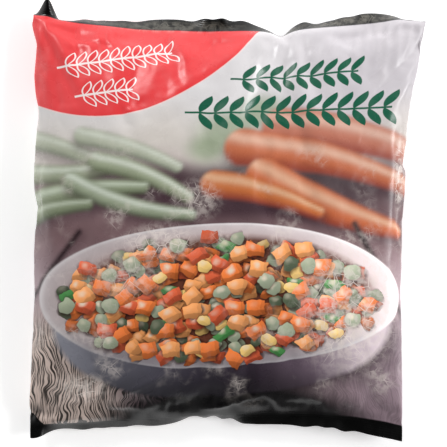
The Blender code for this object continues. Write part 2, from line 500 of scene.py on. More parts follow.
@dataclass
class Crease:
    """A single fold of the film: where it runs on the web, how wide it is and how far it stands out or in."""

    start_mm: Pair
    end_mm: Pair
    width_mm: float
    height_mm: float

    def relief(self, web: Array) -> Array:
        """Measures the crease.

        Args:
            web: where the points lie on the web, one row each.

        Returns:
            The height at each, in millimetres: a sharp line along the crease that fades at its ends.
        """
        start, end = np.array(self.start_mm), np.array(self.end_mm)
        run = end - start
        share = np.clip((web - start) @ run / (run @ run), 0.0, 1.0)
        away = np.linalg.norm(web - start - share[:, None] * run, axis=1)
        taper = np.sin(np.pi * np.clip(share, 0.02, 0.98)) ** 0.6
        return self.height_mm * taper * np.exp(-away / self.width_mm)


@dataclass
class Creasing:
    """The film's folds that are finer than the simulation's."""

    named: tuple[Crease, ...] = (
        Crease((138, 128), (101, 82), 5.0, -1.6),  # valley in from the top right corner
        Crease((-18, -132), (34, -120), 1.8, 2.2),  # ridge across the bottom, off centre
        Crease((-100, -118), (-70, -112), 3.2, 2.4),  # pinched knot by the bottom left
        Crease((-70, -116), (-30, -98), 3.4, 2.2),  # and the ridge that leaves it
        Crease((121, 62), (119, -2), 1.8, -0.9),  # long crease beside the right fold
        Crease((-112, 124), (-62, 116), 3.4, -1.0),  # dip below the standing corner
        Crease((44, 130), (31, 90), 3.2, -0.9),  # dip that runs down from the notch
    )
    crinkles: int = 300
    crinkle_mm: Pair = (5, 16)  # least and most length
    crinkle_width_mm: Pair = (0.9, 2.0)
    crinkle_height_mm: Pair = (0.10, 0.38)
    seal_reach_mm: float = 30  # how far in the crinkles run across the seals
    seal_spread: float = 0.35  # how much their way varies there, in radians
    seal_fade_mm: float = 6.0  # all folds fade over this at a seal
    lump_mm: float = 0.30
    lump_spacing_mm: float = 9.0
    gather_mm: float = 0.8
    gather_grain_mm: Pair = (7, 60)  # spacing and length
    gather_reach_mm: float = 16

    def random_crinkles(self) -> list[Crease]:
        """Draws the small crinkles.

        Returns:
            Creases that run across the seals near them, and any way elsewhere.
        """
        draw = np.random.default_rng(SEED)
        found = []
        for _ in range(self.crinkles):
            x = draw.uniform(-WEB_HALF_MM, WEB_HALF_MM)
            y = draw.uniform(-BODY_HALF_MM, BODY_HALF_MM)
            angle = draw.uniform(0, math.pi)
            if BODY_HALF_MM - abs(y) < self.seal_reach_mm:
                angle = math.pi / 2 + draw.normal(0, self.seal_spread)
            length = draw.uniform(*self.crinkle_mm)
            step = (length / 2 * math.cos(angle), length / 2 * math.sin(angle))
            height = draw.uniform(*self.crinkle_height_mm) * draw.choice((-1, 1))
            ends = (x - step[0], y - step[1]), (x + step[0], y + step[1])
            found.append(Crease(*ends, draw.uniform(*self.crinkle_width_mm), height))
        return found

    def relief(self, web: Array) -> Array:
        """Measures all the folds.

        Args:
            web: where the points lie on the web, one row each.

        Returns:
            The height at each, in millimetres.
        """
        height = np.zeros(len(web))
        for crease in (*self.named, *self.random_crinkles()):
            height += crease.relief(web)
        from_seal = np.maximum(0.0, BODY_HALF_MM - np.abs(web[:, 1]))
        gathers = [self.gather(x, y) for x, y in web]
        height += self.gather_mm * np.array(gathers) * np.exp(-from_seal / self.gather_reach_mm)
        lumps = [noise.noise(Vector((x, y, 3.0)) / self.lump_spacing_mm) for x, y in web]
        height += self.lump_mm * np.array(lumps)
        return height * ramp(from_seal, 0.0, self.seal_fade_mm)

    def gather(self, x: float, y: float) -> float:
        """Sharp-edged gathers that run along the bag, from -1 to 1."""
        spacing, length = self.gather_grain_mm
        return 1 - 3 * abs(noise.noise(Vector((x / spacing, y / length, 1.0))))


# The settings that nodes share, by what the nodes do.
OVER = {"at": (0, 6, 7), "out": 2, "data_type": "RGBA"}  # mixes colours: how much, the lower, the upper
BLEND = {"at": (0, 2, 3), "data_type": "FLOAT"}  # mixes numbers in the same way
NOISE = {"at": (0, 2, 3)}  # a noise's place, scale and detail
SOFT = {"interpolation_type": "SMOOTHSTEP"}
PLUS, MINUS, TIMES = {"operation": "ADD"}, {"operation": "SUBTRACT"}, {"operation": "MULTIPLY"}
TIMES_PLUS = {"operation": "MULTIPLY_ADD"}
UNSIGNED = {"operation": "ABSOLUTE"}
MOST = {"operation": "MAXIMUM"}
LENGTH = {"out": 1, "operation": "LENGTH"}
LIT = {"at": (0, 3), "operation": "SCALE"}  # a colour times a number
TURN = {"at": (0, 3), "rotation_type": "Z_AXIS"}


class NodeSheet:
    """The nodes of a material or of the world."""

    def __init__(self, block: bpy.types.ID, shader: str) -> None:
        """Starts from the block's own nodes.

        Args:
            block: the material or the world.
            shader: the name of its shader node.
        """
        block.use_nodes = True
        self.block, self.tree = block, block.node_tree
        self.shader = self.tree.nodes[shader]

    def join(self, value: object, entry: Socket) -> None:
        """Links a socket to an input, or sets the input to a constant or to a "#rrggbb" colour.

        Args:
            value: the socket, the constant or the colour.
            entry: the input.
        """
        if isinstance(value, Socket):
            self.tree.links.new(value, entry)
        else:
            entry.default_value = linear(value) if isinstance(value, str) else value

    def put(self, **values: object) -> None:
        """Sets the shader's inputs, whose names have low lines for spaces here."""
        for name, value in values.items():
            self.join(value, self.shader.inputs[name.replace("_", " ")])

    def add(
        self, kind: str, *values: object, at: tuple[int, ...] = (), out: int = 0, **settings: object
    ) -> Socket:
        """Adds a node.

        Args:
            kind: the node's type, without its ShaderNode prefix.
            values: sockets to link from, or constants, for the node's inputs.
            at: the inputs' numbers, where they aren't the first ones in order.
            out: the number of the output that is wanted.
            settings: the node's properties; stops sets a colour ramp's places and colours.

        Returns:
            The wanted output socket.
        """
        node = self.tree.nodes.new("ShaderNode" + kind)
        stops = settings.pop("stops", ())
        for name, setting in settings.items():
            setattr(node, name, setting)
        for number, (place, colour) in enumerate(stops):
            elements = node.color_ramp.elements
            element = elements[number] if number < 2 else elements.new(place)
            element.position = place
            element.color = linear(colour) if isinstance(colour, str) else colour
        for number, value in zip(at or range(len(values)), values):
            self.join(value, node.inputs[number])
        return node.outputs[out]


@dataclass(frozen=True)
class Cut:
    """One kind of cut vegetable in the printed heap."""

    name: str
    share: float  # of all pieces
    half_size: Pair  # across and along, where 1 is the spacing of the pieces
    roundness: float  # 0 for a block, 1 for a ball
    colour: str


CUTS = (
    Cut("carrot dice", 0.26, (0.46, 0.40), 0.12, "#ea7d40"),
    Cut("pale carrot dice", 0.17, (0.44, 0.42), 0.22, "#f3a465"),
    Cut("red carrot dice", 0.13, (0.48, 0.36), 0.15, "#d6613f"),
    Cut("frosted pea", 0.20, (0.39, 0.39), 1.0, "#98a189"),
    Cut("dark pea", 0.10, (0.37, 0.37), 1.0, "#525d49"),
    Cut("cut bean", 0.05, (0.55, 0.26), 0.40, "#4b8a4c"),
    Cut("maize kernel", 0.09, (0.35, 0.30), 0.70, "#eec678"),
)


SHADE = "#3a2730"


def lay(picture: Array, colour: str, cover: Array) -> None:
    """Lays a colour over a picture, in place, as thickly as cover says for each point."""
    picture += (np.array(linear(colour)[:3]) - picture) * np.asarray(cover)[:, None]


@dataclass(frozen=True)
class Rod:
    """A soft rod of colour in the print, such as a whole carrot or a pod."""

    start_mm: Pair
    end_mm: Pair
    thickness_mm: float
    taper: float  # the share of the thickness that is lost by its end
    bow_mm: float
    dark: str
    body: str
    light: str

    def paint(self, web: Array, picture: Array, blur_mm: float) -> None:
        """Lays the rod's soft shadow and then its shaded colours over a picture.

        Args:
            web: where the points lie on the web, one row each.
            picture: red, green and blue for each point, changed in place.
            blur_mm: width of its soft edge.
        """
        start, end = np.array(self.start_mm), np.array(self.end_mm)
        run = end - start
        length = np.linalg.norm(run)
        aside = np.array((-run[1], run[0])) / length
        share = np.clip((web - start) @ run / length**2, 0.0, 1.0)
        centre = start + share[:, None] * run + aside * (self.bow_mm * 4 * share * (1 - share))[:, None]
        offset = web - centre
        radius = self.thickness_mm / 2 * (1 - self.taper * share**1.6)
        across = offset @ aside / radius * (1 if aside[1] > 0 else -1)
        below = np.linalg.norm(offset + np.array((-1.0, 3.5)), axis=1)
        lay(picture, SHADE, 0.55 * ramp(below - radius, blur_mm * 1.6, -blur_mm))
        tone = np.array(linear(self.body)[:3]) * np.ones((len(web), 1))
        lay(tone, self.dark, ramp(across, -0.1, -0.95) * 0.9)
        lay(tone, self.light, bell(across, 0.45, 0.34) * 0.75)
        away = np.linalg.norm(offset, axis=1)
        cover = ramp(away - radius, blur_mm / 2, -blur_mm / 2)
        picture += (tone - picture) * cover[:, None]


@dataclass
class Backdrop:
    """The soft picture behind the dish: a pale wall, a mauve table, whole carrots and pods, out of focus."""

    blur_mm: float = 4.0
    carrots: tuple[Rod, ...] = (
        Rod((40, 64), (140, 40), 27, 0.50, 4, "#94483f", "#bd7661", "#e0bcab"),
        Rod((14, 50), (128, 22), 25, 0.55, 5, "#8d4035", "#c26d4b", "#e6bfa8"),
        Rod((30, 30), (122, -6), 26, 0.60, -4, "#883a2d", "#c76a42", "#e7bd9f"),
        Rod((-4, 26), (66, 6), 18, 0.50, 3, "#8d4035", "#c8713f", "#e5bb97"),
    )
    pods: tuple[Rod, ...] = (
        Rod((-150, 52), (-84, 40), 13, 0.30, 3, "#7d8272", "#a9ae9a", "#cdd2c4"),
        Rod((-96, 56), (-30, 38), 12, 0.35, 3, "#7f8574", "#b2b7a4", "#d5dacd"),
        Rod((-140, 30), (-66, 40), 13, 0.35, -4, "#666c58", "#99a088", "#d2d9ca"),
        Rod((-84, 40), (-22, 18), 13, 0.35, 4, "#626a52", "#9aa388", "#dde3d6"),
        Rod((-132, 10), (-52, 24), 14, 0.40, 4, "#545c46", "#8b957a", "#ccd6c2"),
        Rod((-100, 26), (-20, 6), 13, 0.40, -4, "#5c6450", "#97a188", "#d8e0d2"),
        Rod((-142, -4), (-90, 12), 12, 0.35, 3, "#4f5743", "#818b70", "#c3ccb8"),
    )
    gaps: tuple[Rod, ...] = (  # between the table's planks
        Rod((92, -2), (150, -98), 3.4, 0.0, 0, "#150d10", "#1d1216", "#1d1216"),
        Rod((-96, -6), (-150, -78), 3.0, 0.0, 0, "#150d10", "#2a1c20", "#2a1c20"),
    )
    leaves: tuple[Three, ...] = ((2, 62, 20), (26, 74, 17), (-10, 50, 14))  # middle and reach of each

    def paint(self, web: Array) -> Array:
        """Paints the backdrop.

        Args:
            web: where the points lie on the web, one row each.

        Returns:
            Red, green and blue for each point, in linear light.
        """
        x, y = web[:, 0], web[:, 1]
        drift = 7 * np.sin(x / 31.0) + 4 * np.sin(x / 13.0 + 1.3)
        picture = np.array(linear("#d9d6d7")[:3]) * np.ones((len(web), 1))
        lay(picture, "#c4bec4", 0.8 * ramp(x + 0.3 * y, 20, 120))
        lay(picture, "#cfc6bb", 0.7 * ramp(y + drift, 84, 44))
        lay(picture, "#94797c", ramp(y + drift, 46, 16))
        lay(picture, "#6f5659", 0.8 * ramp(y, 22, -6))
        lay(picture, "#a8939a", 0.8 * ramp(y, -8, -50))
        lay(picture, SHADE, 0.85 * ramp(np.hypot((x - 20) / 150, (y - 20) / 26), 1.0, 0.45))
        for middle_x, middle_y, reach in self.leaves:
            away = np.hypot((x - middle_x) / 1.5, y - middle_y)
            lay(picture, "#93a184", 0.8 * ramp(away, reach, reach * 0.2))
        for rod in (*self.pods, *self.carrots, *self.gaps):
            rod.paint(web, picture, self.blur_mm)
        lay(picture, "#d6c2b8", ramp(y, -46, -80) * ramp(x, -48, -84))
        lay(picture, "#85737b", ramp(y, -46, -84) * ramp(x, 66, 108))
        dish_shadow = ramp(np.hypot((x - 8) / 112, (y + 78) / 46), 1.16, 0.80)
        lay(picture, "#33272f", 0.95 * dish_shadow * ramp(np.abs(x), 150, 120))
        lay(picture, "#070406", ramp(np.hypot((x - 10) / 118, (y + 152) / 50), 1.04, 0.70))
        return picture

    def store(self, mesh: Mesh) -> None:
        """Keeps the backdrop's colours on a mesh's points.

        Args:
            mesh: the mesh, which gets the colours named backdrop.
        """
        colours = mesh.color_attributes.new("backdrop", "FLOAT_COLOR", "POINT")
        picture = self.paint(web_places(mesh))
        write(colours.data, "color", np.column_stack((picture, np.ones(len(picture)))))


@dataclass(frozen=True)
class Sprig:
    """A plain leafy sprig in one ink."""

    root_mm: Pair
    turn: float  # in radians
    pairs: int  # of leaves
    pitch_mm: float  # from one pair to the next
    reach_mm: float  # how far a leaf stands out from the stem
    ink: str
    outlined: bool  # drawn in line alone


class PrintedFilm(NodeSheet):
    """Gloss-laminated polythene film, gravure printed: a satin sheen over flat inks, white where creased,
    partly from whitened creases and partly from painted glints.

    Each layer of the print is laid over the colour so far. Places and widths are millimetres on the web.
    """

    roughness: float = 0.27
    ior: float = 1.50  # polythene
    sheen: float = 0.36  # the matt lacquer over the print takes some of the gloss
    dish: tuple[Pair, Pair] = ((1.0, -49.0), (125.0, 49.0))  # centre, half width and half height
    wall: tuple[Pair, Pair] = ((2.0, -66.0), (118.0, 55.0))
    heap: tuple[Pair, Pair] = ((3.0, -48.0), (113.0, 42.5))
    heap_layers: tuple[tuple[float, Pair, float], ...] = (  # spacing, shift and light of each
        (13.5, (0.3, 0.1), 0.76),
        (14.5, (7.7, 3.9), 1.00),
        (13.0, (2.4, 8.1), 1.16),
        (15.0, (5.2, 1.6), 1.26),
    )
    red_centre: Pair = (-95.0, 205.0)
    red_radius: float = 135.5
    crimp: float = 1.2  # from one pressed line of a seal to the next
    corner: float = 9.0  # how far the black climbs the lower left side fold
    flecks: tuple[Three, ...] = ((0.065, 0.028, 0.10), (0.140, 0.052, 0.17))  # scale, width and breaks
    scuff_and_glint_foot: Pair = (26.0, 0.12)  # the scuffs and the painted glints fade to this share over the lowest stretch
    crushed_and_glinting: tuple[tuple[Pair, Pair, float], ...] = (  # centre, half sizes and strength of each patch of crease whitening with painted glints and painted sheen
        ((88, -58), (46, 58), 0.85),
        ((-40, -12), (34, 16), 0.75),
        ((-14, 16), (20, 18), 0.60),
        ((-64, -34), (36, 20), 0.60),
        ((-92, -108), (26, 12), 0.80),
        ((122, 30), (6, 34), 0.90),
        ((-40, 136), (70, 5), 0.60),
        ((84, 137), (50, 5), 0.80),
        ((36, 137), (14, 6), 0.95),
    )
    sprigs: tuple[Sprig, ...] = (
        Sprig((7.0, 97.0), 0.03, 9, 9.0, 10.0, "#175a43", False),
        Sprig((-22.0, 74.0), 0.0, 13, 10.5, 11.5, "#175a43", False),
        Sprig((-110.0, 100.0), 0.24, 10, 7.5, 8.5, "#f3e6e4", True),
        Sprig((-98.0, 82.0), 0.20, 5, 7.5, 8.0, "#f3e6e4", True),
    )

    def __init__(self) -> None:
        """Prints the film, from the map named web and the colours named backdrop."""
        super().__init__(bpy.data.materials.new("printed_film"), "Principled BSDF")
        start = (-WEB_SPAN_MM[0] / 2, -WEB_SPAN_MM[1] / 2, 0.0)
        uv = self.add("UVMap", uv_map="web")
        self.place = self.add("VectorMath", uv, (*WEB_SPAN_MM, 0.0), start, **TIMES_PLUS)
        self.across = self.add("SeparateXYZ", self.place)
        self.height = self.across.node.outputs[1]
        self.colour = self.add("Attribute", attribute_name="backdrop", attribute_type="GEOMETRY")
        for layer in (self.print_wood, self.print_dish, self.print_heap, self.print_light, self.print_red):
            layer()
        for sprig in self.sprigs:
            self.print_sprig(sprig)
        self.black = self.black_ends()
        self.lay(self.black, "#060606")
        self.whiten_and_paint_glints()
        self.gloss()

    def lay(self, cover: Socket, ink: Socket | str) -> None:
        """Lays an ink over the print so far, as thickly as its cover says."""
        self.colour = self.add("Mix", cover, self.colour, ink, **OVER)

    def oval(self, centre: Pair, radii: Pair) -> Socket:
        """Measures how far out a point lies in an oval.

        Args:
            centre: the oval's centre.
            radii: its half width and half height.

        Returns:
            0 at the centre and 1 on the oval's edge.
        """
        shift = (-centre[0] / radii[0], -centre[1] / radii[1], 0.0)
        local = self.add("VectorMath", self.place, (1 / radii[0], 1 / radii[1], 0.0), shift, **TIMES_PLUS)
        return self.add("VectorMath", local, **LENGTH)

    def print_wood(self) -> None:
        """Lays fine dark grain over the table, where the picture is darker than the wall."""
        warp = self.add("TexNoise", self.place, 0.035, 2.0, out=1, **NOISE)
        warped = self.add("VectorMath", warp, (30.0, 0.0, 0.0), self.place, **TIMES_PLUS)
        stretched = self.add("VectorMath", warped, (1.10, 0.050, 0.0), **TIMES)
        grain = self.add("TexNoise", stretched, 1.0, 2.0, 0.5, at=(0, 2, 3, 4))
        line = self.add("MapRange", grain, 0.45, 0.56, **SOFT)
        low = self.add("MapRange", self.height, -54.0, -74.0, 0.0, 0.92)
        side = self.add("MapRange", self.across, 40.0, -30.0, 0.22, 1.0, **SOFT)
        cover = self.add("Math", self.add("Math", line, low, **TIMES), side, **TIMES)
        self.colour = self.add("VectorMath", self.colour, self.add("Math", 1.0, cover, **MINUS), **LIT)

    def print_dish(self) -> None:
        """Lays a plain oval dish over the table: its shaded wall, then its pale inside and rim."""
        stops = ((0.0, "#8d8e98"), (0.18, "#62616b"), (0.42, "#3f3a45"), (0.62, "#3a2f3b"), (0.80, "#6d5d6a"))
        tone = self.add("MapRange", self.across, -112.0, 112.0)
        wall = self.add("ValToRGB", tone, stops=(*stops, (1.0, "#d3c3ca")))
        foot = self.add("MapRange", self.height, -92.0, -118.0, 1.0, 0.35, **SOFT)
        wall = self.add("VectorMath", wall, foot, **LIT)
        cover = self.add("MapRange", self.oval(*self.wall), 1.0, 0.955)
        self.lay(cover, wall)
        away = self.oval(*self.dish)
        stops = ((0.0, "#b9a3a3"), (0.84, "#bda9a8"), (0.865, "#c7b7b7"), (0.955, "#d2c6c7"))
        glaze = self.add("ValToRGB", away, stops=(*stops, (0.985, "#e6dfe0")))
        right = self.add("MapRange", self.across, -110.0, 110.0, 0.80, 1.30, **SOFT)
        glaze = self.add("VectorMath", glaze, right, **LIT)
        low = self.add("MapRange", self.height, -62.0, -90.0, 0.0, 0.62, **SOFT)
        glaze = self.add("Mix", low, glaze, "#5a5864", **OVER)
        self.lay(self.add("MapRange", away, 1.0, 0.985), glaze)

    def print_heap(self) -> None:
        """Heaps layers of cut vegetables in the dish, over a dark bed."""
        bed = self.add("MapRange", self.oval(*self.heap), 0.96, 0.84, **SOFT)
        self.lay(bed, "#64382a")
        bend = self.add("TexNoise", self.place, 0.11, 2.0, out=1, **NOISE)
        bent = self.add("VectorMath", bend, (6.0, 6.0, 0.0), self.place, **TIMES_PLUS)
        for pitch, shift, light in self.heap_layers:
            self.print_cuts(bent, pitch, shift, light)

    def print_cuts(self, place: Socket, pitch: float, shift: Pair, light: float) -> None:
        """Scatters one layer of cut vegetables over the heap.

        Args:
            place: where the point lies, bent a little so that no cut is straight.
            pitch: spacing of the pieces.
            shift: what moves this layer's pieces off the others'.
            light: how brightly the layer is lit.
        """
        squash = pitch * 0.86
        cell = self.add("VectorMath", place, (1 / pitch, 1 / squash, 0.0), (*shift, 0.0), **TIMES_PLUS)
        tone = self.add("TexVoronoi", cell, 1.0, 0.8, at=(0, 2, 8), out=1, voronoi_dimensions="2D")
        centre = tone.node.outputs[2]
        local = self.add("VectorMath", cell, centre, **MINUS)
        kind = self.add("SeparateColor", tone)
        turn, chance = kind.node.outputs[1], kind.node.outputs[2]
        turned = self.add("VectorRotate", local, self.add("MapRange", turn, 0.0, 1.0, -0.8, 0.8), **TURN)
        sizes, inks, share = [], [], 0.0
        for cut in CUTS:
            sizes.append((share, (*cut.half_size, cut.roundness, 1.0)))
            inks.append((share, cut.colour))
            share += cut.share
        size, ink = (self.add("ValToRGB", kind, stops=stops) for stops in (sizes, inks))
        size.node.color_ramp.interpolation = ink.node.color_ramp.interpolation = "CONSTANT"
        roundness = self.add("SeparateColor", size, out=2)
        scaled = self.add("VectorMath", turned, size, operation="DIVIDE")
        scaled = self.add("VectorMath", scaled, (1.0, 1.0, 0.0), **TIMES)
        ball = self.add("VectorMath", scaled, **LENGTH)
        folded = self.add("SeparateXYZ", self.add("VectorMath", scaled, **UNSIGNED))
        block = self.add("Math", folded, folded.node.outputs[1], **MOST)
        edge = self.add("Mix", roundness, block, ball, **BLEND)
        kept = self.in_heap(centre, chance, (pitch, squash), shift)
        below = self.add("VectorMath", scaled, (-0.06, 0.16, 0.0), **PLUS)
        shadow = self.add("MapRange", self.add("VectorMath", below, **LENGTH), 1.45, 0.85, 0.0, 0.75, **SOFT)
        shadow = self.add("Math", shadow, kept, **TIMES)
        self.lay(shadow, "#2c1512")
        lit = self.add("VectorMath", local, (-0.45, 0.90, 0.0), out=1, operation="DOT_PRODUCT")
        lit = self.add("MapRange", lit, -0.38, 0.38, 0.66 * light, 1.16 * light)
        side = self.add("SeparateXYZ", scaled)
        front = self.add("MapRange", side.node.outputs[1], -0.30, -0.18, 0.58, 1.0)
        face = self.add("Math", front, self.add("MapRange", side, 0.52, 0.60, 1.0, 0.78), **TIMES)
        face = self.add("Mix", roundness, face, 1.0, **BLEND)
        ink = self.add("VectorMath", ink, self.add("Math", lit, face, **TIMES), **LIT)
        glint = self.add("VectorMath", local, (-0.10, 0.16, 0.0), out=1, operation="DISTANCE")
        glint = self.add("MapRange", glint, 0.26, 0.02, 0.0, 0.75 * light, **SOFT)
        glint = self.add("Math", glint, chance, **TIMES)
        ink = self.add("Mix", glint, ink, "#f6e6cf", **OVER)
        cover = self.add("Math", self.add("MapRange", edge, 1.0, 0.91), kept, **TIMES)
        self.lay(cover, ink)

    def in_heap(self, centre: Socket, chance: Socket, cell: Pair, shift: Pair) -> Socket:
        """Marks the pieces whose middle lies in the heap, which has an uneven edge.

        Args:
            centre: the piece's middle, in cells.
            chance: a random number for each piece.
            cell: width and height of a cell.
            shift: the layer's shift, in cells.

        Returns:
            1 for a piece that is kept, else 0.
        """
        middle, radii = self.heap
        offset = (-(shift[i] * cell[i] + middle[i]) / radii[i] for i in (0, 1))
        scale = (cell[0] / radii[0], cell[1] / radii[1], 0.0)
        where = self.add("VectorMath", centre, scale, (*offset, 0.0), **TIMES_PLUS)
        where = self.add("Math", chance, 0.10, self.add("VectorMath", where, **LENGTH), **TIMES_PLUS)
        return self.add("Math", where, 1.0, operation="LESS_THAN")

    def print_light(self) -> None:
        """Brightens the right of the lower picture, as light from a window does."""
        low = self.add("MapRange", self.height, 10.0, -30.0, **SOFT)
        gain = self.add("MapRange", self.across, 10.0, 115.0, 0.0, 0.42, **SOFT)
        gain = self.add("Math", self.add("Math", gain, low, **TIMES), 1.0, **PLUS)
        self.colour = self.add("VectorMath", self.colour, gain, **LIT)

    def print_red(self) -> None:
        """Lays the red corner with its round edge and pale keyline."""
        away = self.add("VectorMath", self.place, (*self.red_centre, 0.0), out=1, operation="DISTANCE")
        key = self.add("MapRange", away, self.red_radius + 1.1, self.red_radius + 0.5)
        self.lay(key, "#e9d3d0")
        mottle = self.add("TexNoise", self.place, 0.02, 2.0, **NOISE)
        red = self.add("ValToRGB", mottle, stops=((0.36, "#dc3438"), (0.64, "#e8474a")))
        cover = self.add("MapRange", away, self.red_radius + 0.3, self.red_radius - 0.3)
        self.lay(cover, red)

    def print_sprig(self, sprig: Sprig) -> None:
        """Prints a plain sprig: a straight stem with a pair of pointed leaves at every step.

        Args:
            sprig: its place, its sizes and its ink.
        """
        pitch, length = sprig.pitch_mm, sprig.pairs * sprig.pitch_mm
        local = self.add("VectorMath", self.place, (*sprig.root_mm, 0.0), **MINUS)
        along = self.add("SeparateXYZ", self.add("VectorRotate", local, -sprig.turn, **TURN))
        aside = self.add("Math", along.node.outputs[1], **UNSIGNED)
        lean = self.add("Math", aside, -0.75, along, **TIMES_PLUS)
        step = self.add("Math", lean, pitch, operation="FLOORED_MODULO")
        step = self.add("Math", self.add("Math", step, pitch / 2, **MINUS), **UNSIGNED)
        rise = self.add("Math", aside, 2 / sprig.reach_mm, -1.0, **TIMES_PLUS)
        rise = self.add("Math", rise, rise, **TIMES)
        width = self.add("Math", rise, -pitch * 0.36, pitch * 0.36, **TIMES_PLUS)
        leaf = self.add("Math", width, step, **MINUS)
        if sprig.outlined:
            leaf = self.add("MapRange", self.add("Math", leaf, **UNSIGNED), 0.75, 0.35)
        else:
            leaf = self.add("MapRange", leaf, -0.2, 0.3)
        leaf = self.within(leaf, lean, 0.0, length)
        leaf = self.within(leaf, aside, -1.0, sprig.reach_mm + 0.6)
        stem = self.add("MapRange", aside, 0.85, 0.45)
        stem = self.within(stem, along, -sprig.reach_mm * 0.4, length)
        cover = self.add("Math", leaf, stem, **MOST)
        self.lay(cover, sprig.ink)

    def within(self, cover: Socket, value: Socket, first: float, last: float) -> Socket:
        """Keeps a cover only where a value lies between two limits.

        Args:
            cover: what is kept.
            value: what is measured.
            first: the lower limit.
            last: the upper limit.

        Returns:
            The cover inside the limits and 0 outside them.
        """
        above = self.add("Math", value, first, operation="GREATER_THAN")
        below = self.add("Math", value, last, operation="LESS_THAN")
        return self.add("Math", self.add("Math", cover, above, **TIMES), below, **TIMES)

    def black_ends(self) -> Socket:
        """Marks the black ends of the print: the two seal strips, and a corner up the lower left side fold.

        Returns:
            1 on the black and 0 off it.
        """
        along = self.add("Math", self.height, **UNSIGNED)
        strip = self.add("MapRange", along, BODY_HALF_MM - 0.4, BODY_HALF_MM + 0.2)
        climb = self.add("Math", self.add("Math", self.across, WEB_HALF_MM / 2, **PLUS), **UNSIGNED)
        climb = self.add("Math", climb, 0.9, self.height, **TIMES_PLUS)
        top = self.corner - BODY_HALF_MM
        return self.add("Math", strip, self.add("MapRange", climb, top + 0.4, top), **MOST)

    def whiten_and_paint_glints(self) -> None:
        """Whitens the film in flecks where it was crushed and greys the seal strips where they rubbed, with
        painted glints and painted sheen among the wear.
        """
        broad = self.add("TexNoise", self.place, 0.034, 3.0, **NOISE)
        patch = self.add("MapRange", broad, 0.52, 0.72, 0.0, 0.55, **SOFT)
        lower = self.add("MapRange", self.height, 66.0, 20.0, 0.12, 1.0, **SOFT)
        patch = self.add("Math", patch, lower, **TIMES)
        for centre, radii, strength in self.crushed_and_glinting:
            spot = self.add("MapRange", self.oval(centre, radii), 1.0, 0.25, 0.0, strength, **SOFT)
            patch = self.add("Math", patch, spot, **MOST)
        cover = 0.0
        edges = {"voronoi_dimensions": "2D", "feature": "DISTANCE_TO_EDGE"}
        for scale, width, breaks in self.flecks:
            line = self.add("TexVoronoi", self.place, scale, at=(0, 2), **edges)
            line = self.add("MapRange", line, width, width * 0.2)
            gap = self.add("TexNoise", self.place, breaks, 1.0, out=1, **NOISE)
            gap = self.add("MapRange", self.add("SeparateColor", gap, out=1), 0.46, 0.56)
            cover = self.add("Math", self.add("Math", line, gap, **TIMES), cover, **MOST)
        # a soft whitening haze under the flecks, partly painted sheen
        haze = self.add("TexNoise", self.place, 0.22, 3.0, 0.6, at=(0, 2, 3, 4))
        haze = self.add("MapRange", haze, 0.38, 0.62, 0.08, 0.66, **SOFT)
        cover = self.add("Math", self.add("Math", cover, haze, **MOST), patch, **TIMES)
        stretch, share = self.scuff_and_glint_foot
        foot = self.add("MapRange", self.height, -BODY_HALF_MM, stretch - BODY_HALF_MM, share, 1.0)
        cover = self.add("Math", cover, foot, **TIMES)
        # white on the film and grey on the black strips: crease whitening and rub, with painted glints and
        # painted crinkle highlights
        pale = self.add("Mix", self.black, "#f8ece4", "#8a867c", **OVER)
        self.lay(cover, pale)

    def gloss(self) -> None:
        """Gives the film its gloss, its fine crinkles and the crimped lines of its seals."""
        wear = self.add("TexNoise", self.place, 0.06, 3.0, **NOISE)
        wear = self.add("MapRange", wear, 0.3, 0.7, self.roughness - 0.07, self.roughness + 0.10)
        ridged = {"noise_type": "RIDGED_MULTIFRACTAL", "normalize": True}
        crinkle = self.add("TexNoise", self.place, 0.16, 3.0, **NOISE, **ridged)
        fine = self.add("Bump", 0.30, 0.00035, crinkle, at=(0, 1, 3))
        crimp = self.add("Math", self.height, math.tau / self.crimp, **TIMES)
        crimp = self.add("Math", self.add("Math", crimp, operation="SINE"), self.black, **TIMES)
        both = self.add("Bump", 0.5, 0.00007, crimp, fine, at=(0, 1, 3, 4))
        self.put(Base_Color=self.colour, IOR=self.ior, Specular_IOR_Level=self.sheen)
        self.put(Roughness=wear, Normal=both)


